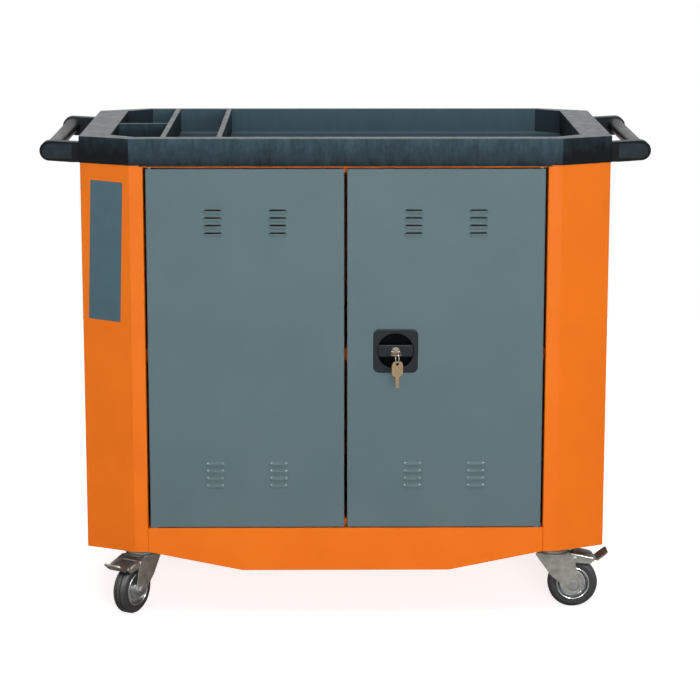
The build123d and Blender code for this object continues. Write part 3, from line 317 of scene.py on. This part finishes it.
# Tray lip: the moulding's lower front edge is rolled forward and hangs 2.4 mm over the rail, so
# that only a thin shaded line of the rail shows between the tray and the doors.
doors_left, doors_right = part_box("left_door")[0].x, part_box("right_door")[1].x
lip_drop, lip_front, lip_back, lip_overhang = 2.4 * MM, 0.9 * MM, 0.6 * MM, 12 * MM
lip_root, lip_top, wall_gap = 1.2 * MM, 2.6 * MM, 0.02 * MM
lip_turn = np.linspace(0, math.pi, 7)
lip_y = tray_low.y - lip_front + (lip_front + lip_back) / 2 * (1 + np.cos(lip_turn))
lip_z = tray_low.z - lip_drop + (lip_front + lip_back) / 2 * (1 - np.sin(lip_turn))
lip_y = np.concatenate([[tray_low.y + lip_back], lip_y,
                        [tray_low.y - lip_front, tray_low.y - wall_gap]])
lip_z = np.concatenate([[tray_low.z], lip_z, [tray_low.z + lip_root, tray_low.z + lip_top]])
lip_x = np.array([doors_left - lip_overhang, doors_right + lip_overhang])
count = len(lip_y)
points = np.stack([np.repeat(lip_x, count), np.tile(lip_y, 2), np.tile(lip_z, 2)], axis=1)
faces = [[i, (i + 1) % count, count + (i + 1) % count, count + i] for i in range(count)]
faces += [list(range(count))[::-1], list(range(count, 2 * count))]
mesh_piece("tray_lip", points, faces, moulded, "cabinet")

# Lock housing and turning bar: zinc die castings with a smooth black coat, slightly mottled. The finger
# dish, which is 13 mm deep, is painted almost black with dull reflections as painted shade.
cast_black, tree = blank_material("coated_die_cast_black")
place = add_node(tree, "ShaderNodeTexCoord").outputs["Object"]
lock_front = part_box("lock_housing")[0].y
rim_depth, dish_depth = 3 * MM, 9 * MM
mottle = add_node(tree, "ShaderNodeTexNoise", {"Vector": place, "Scale": 220.0, "Detail": 3.0})
tint = add_node(tree, "ShaderNodeValToRGB", {"Fac": mottle.outputs["Fac"]})
tint.color_ramp.elements[0].color = linear("10161b")
tint.color_ramp.elements[1].color = linear("1b2228")
depth = add_node(tree, "ShaderNodeSeparateXYZ", {"Vector": place})
# Painted shade: deeper in the dish the colour goes to near black and the reflections fade.
sunk = add_node(tree, "ShaderNodeMapRange",
                {"Value": depth.outputs["Y"], "From Min": lock_front + rim_depth,
                 "From Max": lock_front + dish_depth})
shade = add_node(tree, "ShaderNodeMix",
                 {0: sunk.outputs["Result"], 6: tint.outputs["Color"], 7: linear("030405")},
                 data_type="RGBA")
sheen = add_node(tree, "ShaderNodeMapRange",
                 {"Value": sunk.outputs["Result"], "To Min": 0.25, "To Max": 0.04})
corner = add_node(tree, "ShaderNodeBevel", {"Radius": 1.2 * MM}, samples=4)
bump = add_node(tree, "ShaderNodeBump",
                {"Strength": 0.12, "Distance": 0.0003, "Height": mottle.outputs["Fac"],
                 "Normal": corner.outputs["Normal"]})
coat = add_node(tree, "ShaderNodeBsdfPrincipled",
                {"Base Color": shade.outputs[2], "Roughness": 0.38, "IOR": 1.5,
                 "Specular IOR Level": sheen.outputs["Result"],
                 "Normal": bump.outputs["Normal"]})
add_node(tree, "ShaderNodeOutputMaterial", {"Surface": coat.outputs["BSDF"]})
dress(cast_black, ["lock_housing", "latch_handle"])


def bare_metal(name, base, dark, roughness, scale, metallic=1.0):
    """Bare or plated metal: a fine mottle changes colour and gloss."""
    material, tree = blank_material(name)
    place = add_node(tree, "ShaderNodeTexCoord").outputs["Object"]
    mottle = add_node(tree, "ShaderNodeTexNoise", {"Vector": place, "Scale": scale, "Detail": 4.0})
    tint = add_node(tree, "ShaderNodeValToRGB", {"Fac": mottle.outputs["Fac"]})
    tint.color_ramp.elements[0].color = linear(dark)
    tint.color_ramp.elements[0].position = 0.3
    tint.color_ramp.elements[1].color = linear(base)
    tint.color_ramp.elements[1].position = 0.7
    gloss = add_node(tree, "ShaderNodeMapRange",
                     {"Value": mottle.outputs["Fac"], "To Min": roughness * 0.8,
                      "To Max": roughness * 1.3})
    metal = add_node(tree, "ShaderNodeBsdfPrincipled",
                     {"Base Color": tint.outputs["Color"], "Roughness": gloss.outputs["Result"],
                      "Metallic": metallic})
    add_node(tree, "ShaderNodeOutputMaterial", {"Surface": metal.outputs["BSDF"]})
    return material


# Lock plug and key ring: chrome-plated brass and spring steel, bright with faint handling marks.
bright = bare_metal("chrome_plate", "d9dadb", "c2c4c6", 0.14, 300.0)
dress(bright, ["lock_plug", "key_ring"])

# Keys: nickel-washed brass that has worn to a warm bronze grey on its flats.
key_brass = bare_metal("worn_nickel_brass", "b39a78", "8f7a5c", 0.34, 400.0)
dress(key_brass, ["key", "spare_key"])

# Hardware inside the cabinet and under it: zinc-plated steel with a pale passivated look.
zinc = bare_metal("zinc_plated_steel", "a9acae", "8d9093", 0.33, 90.0)
dress(zinc, ["hinge_pins", "hinge_washers", "shelf_clips", "lock_cam", "upper_lock_rod",
             "lower_lock_rod", "left_door_upper_bolt", "left_door_lower_bolt", "caster_plates",
             "caster_bolts"])

# Rod and bolt guides: plain black nylon blocks; buffers: soft black rubber buttons.
nylon, tree = blank_material("moulded_nylon_black")
place = add_node(tree, "ShaderNodeTexCoord").outputs["Object"]
speck = add_node(tree, "ShaderNodeTexNoise", {"Vector": place, "Scale": 500.0})
tint = add_node(tree, "ShaderNodeValToRGB", {"Fac": speck.outputs["Fac"]})
tint.color_ramp.elements[0].color = linear("15171a")
tint.color_ramp.elements[1].color = linear("202427")
plain = add_node(tree, "ShaderNodeBsdfPrincipled",
                 {"Base Color": tint.outputs["Color"], "Roughness": 0.55, "IOR": 1.53})
add_node(tree, "ShaderNodeOutputMaterial", {"Surface": plain.outputs["BSDF"]})
dress(nylon, ["rod_guides", "left_bolt_guides", "door_buffers"])

# Casters: forks and axles are zinc-plated pressings with a dull olive passivated skin, brake
# pedals are zinc-plated strips drawn darker than the forks, and tyres are solid black rubber.
corners = ["front_left", "front_right", "back_left", "back_right"]
fork_zinc = bare_metal("zinc_plated_pressing", "a3a39c", "85857d", 0.42, 60.0, metallic=0.75)
dress(fork_zinc, [f"{c}_fork" for c in corners])
dress(zinc, [f"{c}_axle" for c in corners])
pedal_zinc = bare_metal("darkened_pedal_steel", "8b867d", "5f5b54", 0.4, 70.0, metallic=0.7)
dress(pedal_zinc, ["front_left_brake_pedal", "front_right_brake_pedal"])

# Rims: pressed discs with a thin rolled lip, a deep groove inside it, a dished face and a long
# hub. The lip is rubbed bright by the tyre.
rim_zinc = bare_metal("zinc_plated_rim", "b9bcbb", "9a9d9c", 0.28, 120.0, metallic=0.9)
half_profile = np.array([
    (19, 5.2), (19, 10.8), (18.6, 11.6), (11.2, 12.2), (9.9, 13.8), (9.7, 16), (10.3, 21), (10.7, 24),
    (10.2, 26), (8.8, 27.4), (6.0, 28.0), (5.2, 28.8), (6.0, 29.8), (13.4, 30.6), (14.8, 30.8),
    (15.5, 31.4), (15.8, 32.2), (15.5, 33.0), (14.8, 33.6), (13.8, 33.7), (12.9, 32.9)]) * MM
joints = {joint["name"]: joint for joint in frame["joints"]}
for corner_name in corners:
    spin = joints[f"{corner_name}_wheel_spin"]
    profile = np.concatenate([half_profile * (-1, 1), half_profile[::-1]])
    points, faces = turned(profile, spin["pos_m"], spin["axis"], 64, closed=True)
    rim = mesh_piece(f"{corner_name}_pressed_rim", points, faces, rim_zinc,
                     f"{corner_name}_wheel", smooth=True)
    rim.data.set_sharp_from_angle(angle=math.radians(38))
    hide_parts(f"{corner_name}_rim")

# Bright trims of the two braked forks: the rolled edge of each sloping lobe, 2.6 mm thick, and a
# domed rivet head at each end of the pedal's pin, both in near-white steel as painted highlights.
# Painted highlight: these trims are drawn in near-white steel so the fork edges and pin ends show
# bright.
highlight_steel = bare_metal("bright_steel_highlight", "e3e4e2", "cfd0cd", 0.22, 90.0)
lobe_start, lobe_end = np.array([33.5, 116.2]) * MM, np.array([79.0, 105.9]) * MM
edge_out, bead_radius = 25.6 * MM, 1.3 * MM
rivet_x, rivet_z, leg_face = 42 * MM, 107.5 * MM, 22.5 * MM
for corner_name in corners[:2]:
    spin, swivel = joints[f"{corner_name}_wheel_spin"], joints[f"{corner_name}_swivel_turn"]
    pivot = np.array([*swivel["pos_m"][:2], 0.0])
    trailing = np.array([*spin["pos_m"][:2], 0.0]) - pivot
    trailing /= np.linalg.norm(trailing)
    sideways = np.array(spin["axis"], float)
    up_axis = np.array([0, 0, 1.0])
    for hand in (-1, 1):
        start = pivot + trailing * lobe_start[0] + up_axis * lobe_start[1] + sideways * hand * edge_out
        run = trailing * (lobe_end[0] - lobe_start[0]) + up_axis * (lobe_end[1] - lobe_start[1])
        length = np.linalg.norm(run)
        turn = np.linspace(0, math.pi / 2, 5)
        cap = np.stack([bead_radius * (1 - np.cos(turn)), bead_radius * np.sin(turn)], axis=1)
        cap[0, 1] = 0.05 * MM
        profile = np.concatenate([cap, (cap * (-1, 1) + (length, 0))[::-1]])
        points, faces = turned(profile, start, run, 16)
        name = f"{corner_name}_rolled_edge_{'inner' if hand < 0 else 'outer'}"
        mesh_piece(name, points, faces, highlight_steel, f"{corner_name}_swivel",
                   smooth=True)
        spot = (pivot + trailing * rivet_x + up_axis * rivet_z
                + sideways * hand * (leg_face + 1.25 * MM))
        dome = np.stack([1.8 * MM * np.sin(turn), 4.2 * MM * np.cos(turn)], axis=1)
        dome[-1, 1] = 0.05 * MM
        points, faces = turned(dome, spot, sideways * hand, 20)
        name = f"{corner_name}_rivet_head_{'inner' if hand < 0 else 'outer'}"
        mesh_piece(name, points, faces, highlight_steel, f"{corner_name}_swivel",
                   smooth=True)

# Tyres: solid black rubber with a faint grey bloom.
rubber, tree = blank_material("vulcanised_rubber_black")
place = add_node(tree, "ShaderNodeTexCoord").outputs["Object"]
bloom = add_node(tree, "ShaderNodeTexNoise", {"Vector": place, "Scale": 70.0, "Detail": 5.0})
tint = add_node(tree, "ShaderNodeValToRGB", {"Fac": bloom.outputs["Fac"]})
tint.color_ramp.elements[0].color = linear("131313")
tint.color_ramp.elements[0].position = 0.35
tint.color_ramp.elements[1].color = linear("2b2b2a")
tint.color_ramp.elements[1].position = 0.75
bump = add_node(tree, "ShaderNodeBump",
                {"Strength": 0.15, "Distance": 0.0004, "Height": bloom.outputs["Fac"]})
solid = add_node(tree, "ShaderNodeBsdfPrincipled",
                 {"Base Color": tint.outputs["Color"], "Roughness": 0.55, "IOR": 1.52,
                  "Normal": bump.outputs["Normal"]})
add_node(tree, "ShaderNodeOutputMaterial", {"Surface": solid.outputs["BSDF"]})
dress(rubber, [f"{c}_tyre" for c in corners])

# Blank sticker plate on the left front chamfer: a slate vinyl rectangle with a semi-gloss face,
# stuck on a little askew. It carries nothing.
plate_width, plate_height, plate_thickness = 70 * MM, 277 * MM, 0.3 * MM
corner_radius = 1.5 * MM
corner_x, along_chamfer, plate_height_up = -419.7 * MM, 54.1 * MM, 741.1 * MM
plate_lean, film_gap = 9.3 * MM, 0.02 * MM
front_corner = np.array([corner_x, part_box("left_side_panel")[0].y, 0.0])
chamfer_run = np.array([-0.92198, 0.38723, 0.0])
chamfer_normal = np.array([-0.38723, -0.92198, 0.0])
plate_middle = front_corner + chamfer_run * along_chamfer + np.array([0, 0, plate_height_up])
plate_tilt = math.atan2(plate_lean, plate_height)


def rounded_outline(width, height, radius, steps):
    """Points of a rectangle with quarter circles of the given radius at its corners."""
    turn = np.linspace(0, math.pi / 2, steps)
    arcs = []
    for quarter, (sx, sy) in enumerate([(1, 1), (-1, 1), (-1, -1), (1, -1)]):
        angle = turn + quarter * math.pi / 2
        arcs.append(np.stack([sx * (width / 2 - radius) + radius * np.cos(angle),
                              sy * (height / 2 - radius) + radius * np.sin(angle)], axis=1))
    return np.concatenate(arcs)


outline = rounded_outline(plate_width, plate_height, corner_radius, 6)
along = chamfer_run * math.cos(plate_tilt) + np.array([0, 0, 1]) * math.sin(plate_tilt)
upward = np.array([0, 0, 1]) * math.cos(plate_tilt) - chamfer_run * math.sin(plate_tilt)
flat = plate_middle + outline[:, :1] * along + outline[:, 1:] * upward
count = len(outline)
points = np.concatenate([flat + chamfer_normal * film_gap, flat + chamfer_normal * plate_thickness])
faces = [list(range(count))[::-1], list(range(count, 2 * count))]
faces += [[i, (i + 1) % count, count + (i + 1) % count, count + i] for i in range(count)]
vinyl_film, tree = blank_material("vinyl_film_slate")
place = add_node(tree, "ShaderNodeTexCoord").outputs["Object"]
scuff = add_node(tree, "ShaderNodeTexNoise", {"Vector": place, "Scale": 40.0, "Detail": 5.0})
tint = add_node(tree, "ShaderNodeValToRGB", {"Fac": scuff.outputs["Fac"]})
tint.color_ramp.elements[0].color = linear("35505a")
tint.color_ramp.elements[1].color = linear("3f5b65")
film = add_node(tree, "ShaderNodeBsdfPrincipled",
                {"Base Color": tint.outputs["Color"], "Roughness": 0.35, "IOR": 1.5})
add_node(tree, "ShaderNodeOutputMaterial", {"Surface": film.outputs["BSDF"]})
mesh_piece("blank_plate", points, faces, vinyl_film, "cabinet")

# Floor and surroundings: a white studio floor that keeps a soft shadow. The world is white where it
# is seen, mirrored or looked through. As a light it is a room: dim in front, brighter behind and
# above, with one pale blue daylit patch low in front.
floor_mesh = bpy.data.meshes.new("studio_floor")
reach = 2.6
floor_mesh.from_pydata([(-reach, -reach, 0), (reach, -reach, 0), (reach, reach, 0),
                        (-reach, reach, 0)], [], [(0, 1, 2, 3)])
floor = bpy.data.objects.new("studio_floor", floor_mesh)
bpy.context.scene.collection.objects.link(floor)
floor_paint, tree = blank_material("studio_floor_white")
ray = add_node(tree, "ShaderNodeLightPath").outputs["Is Camera Ray"]
matt = add_node(tree, "ShaderNodeBsdfDiffuse", {"Color": (0.8, 0.8, 0.8, 1)})
glow = add_node(tree, "ShaderNodeEmission", {"Color": (1, 1, 1, 1), "Strength": 0.75})
lit = add_node(tree, "ShaderNodeAddShader", {0: matt.outputs["BSDF"], 1: glow.outputs["Emission"]})
seen = add_node(tree, "ShaderNodeMixShader",
                {0: ray, 1: matt.outputs["BSDF"], 2: lit.outputs["Shader"]})
add_node(tree, "ShaderNodeOutputMaterial", {"Surface": seen.outputs["Shader"]})
floor_mesh.materials.append(floor_paint)

world = bpy.data.worlds.new("studio_world")
world.use_nodes = True
world.node_tree.nodes.clear()
tree = world.node_tree
direction = add_node(tree, "ShaderNodeTexCoord").outputs["Generated"]
axes = add_node(tree, "ShaderNodeSeparateXYZ", {"Vector": direction})
behind = add_node(tree, "ShaderNodeMapRange",
                  {"Value": axes.outputs["Y"], "From Min": -0.3, "From Max": 1.0, "To Min": 0.04,
                   "To Max": 0.4})
overhead = add_node(tree, "ShaderNodeMapRange",
                    {"Value": axes.outputs["Z"], "From Min": 0.2, "From Max": 1.0, "To Max": 0.3})
room = add_node(tree, "ShaderNodeMath",
                {0: behind.outputs["Result"], 1: overhead.outputs["Result"]}, operation="ADD")
toward = add_node(tree, "ShaderNodeVectorMath", {0: direction, 1: (0.05, -0.998, -0.04)},
                  operation="DOT_PRODUCT")
patch = add_node(tree, "ShaderNodeMapRange",
                 {"Value": toward.outputs["Value"], "From Min": 0.87, "From Max": 0.96},
                 interpolation_type="SMOOTHSTEP")
daylight = add_node(tree, "ShaderNodeBackground",
                    {"Color": (0.45, 0.84, 1.0, 1), "Strength": 2.0})
grey_room = add_node(tree, "ShaderNodeBackground",
                     {"Color": (1, 0.94, 0.88, 1), "Strength": room.outputs["Value"]})
around = add_node(tree, "ShaderNodeMixShader",
                  {0: patch.outputs["Result"], 1: grey_room.outputs["Background"],
                   2: daylight.outputs["Background"]})
white = add_node(tree, "ShaderNodeBackground", {"Color": (1, 1, 1, 1), "Strength": 1.0})
path = add_node(tree, "ShaderNodeLightPath")
glossy = add_node(tree, "ShaderNodeMath", {0: path.outputs["Is Camera Ray"],
                                           1: path.outputs["Is Glossy Ray"]}, operation="MAXIMUM")
seen = add_node(tree, "ShaderNodeMath", {0: glossy.outputs["Value"],
                                         1: path.outputs["Is Transmission Ray"]},
                operation="MAXIMUM")
blend = add_node(tree, "ShaderNodeMixShader",
                 {0: seen.outputs["Value"], 1: around.outputs["Shader"],
                  2: white.outputs["Background"]})
add_node(tree, "ShaderNodeOutputWorld", {"Surface": blend.outputs["Shader"]})
bpy.context.scene.world = world


def soft_lamp(name, spot, aim, width, height, power):
    """A rectangular soft lamp at spot that faces aim."""
    lamp = bpy.data.lights.new(name, "AREA")
    lamp.shape, lamp.size, lamp.size_y, lamp.energy = "RECTANGLE", width, height, power
    made = bpy.data.objects.new(name, lamp)
    bpy.context.scene.collection.objects.link(made)
    made.location = spot
    made.rotation_euler = (Vector(aim) - Vector(spot)).to_track_quat("-Z", "Y").to_euler()
    return made


front_lamp = soft_lamp("front_lamp", (0.55, -4.4, 1.2), (0, 0, 0.4), 2.0, 1.1, 103)
front_lamp.visible_glossy = False
soft_lamp("top_lamp", (0.2, -0.6, 3.6), (0, 0, 0.8), 2.0, 1.6, 40)
for name, x in (("left_spark", -2.6), ("right_spark", 2.6)):
    spark = soft_lamp(name, (x, -3.6, 3.3), (0, 0, 0.4), 0.35, 0.35, 320)
    spark.visible_diffuse = False

# Camera: the photograph's viewpoint, 4.2 m in front of the tray and 1.52 m up.
pitch, yaw, roll = math.radians(10.317), math.radians(0.538), math.radians(0.038)
forward = Vector((math.sin(yaw) * math.cos(pitch), math.cos(yaw) * math.cos(pitch),
                  -math.sin(pitch)))
level = Vector((math.cos(yaw), -math.sin(yaw), 0))
up = level.cross(forward)
across = level * math.cos(roll) + up * math.sin(roll)
above = up * math.cos(roll) - level * math.sin(roll)
camera_data = bpy.data.cameras.new("camera")
camera_data.lens = 113.13
camera_data.sensor_width = 36
camera_data.shift_y = -0.15
camera_data.clip_end = 100
camera = bpy.data.objects.new("camera", camera_data)
bpy.context.scene.collection.objects.link(camera)
camera_left, camera_away, camera_up = 31.28 * MM, 4210.96 * MM, 1523.27 * MM
aimed = Matrix((across, above, -forward)).transposed().to_4x4()
camera_spot = Matrix.Translation((-camera_left, tray_low.y - camera_away, camera_up))
camera.matrix_world = camera_spot @ aimed
bpy.context.scene.camera = camera
bpy.context.scene.view_settings.view_transform = "Standard"
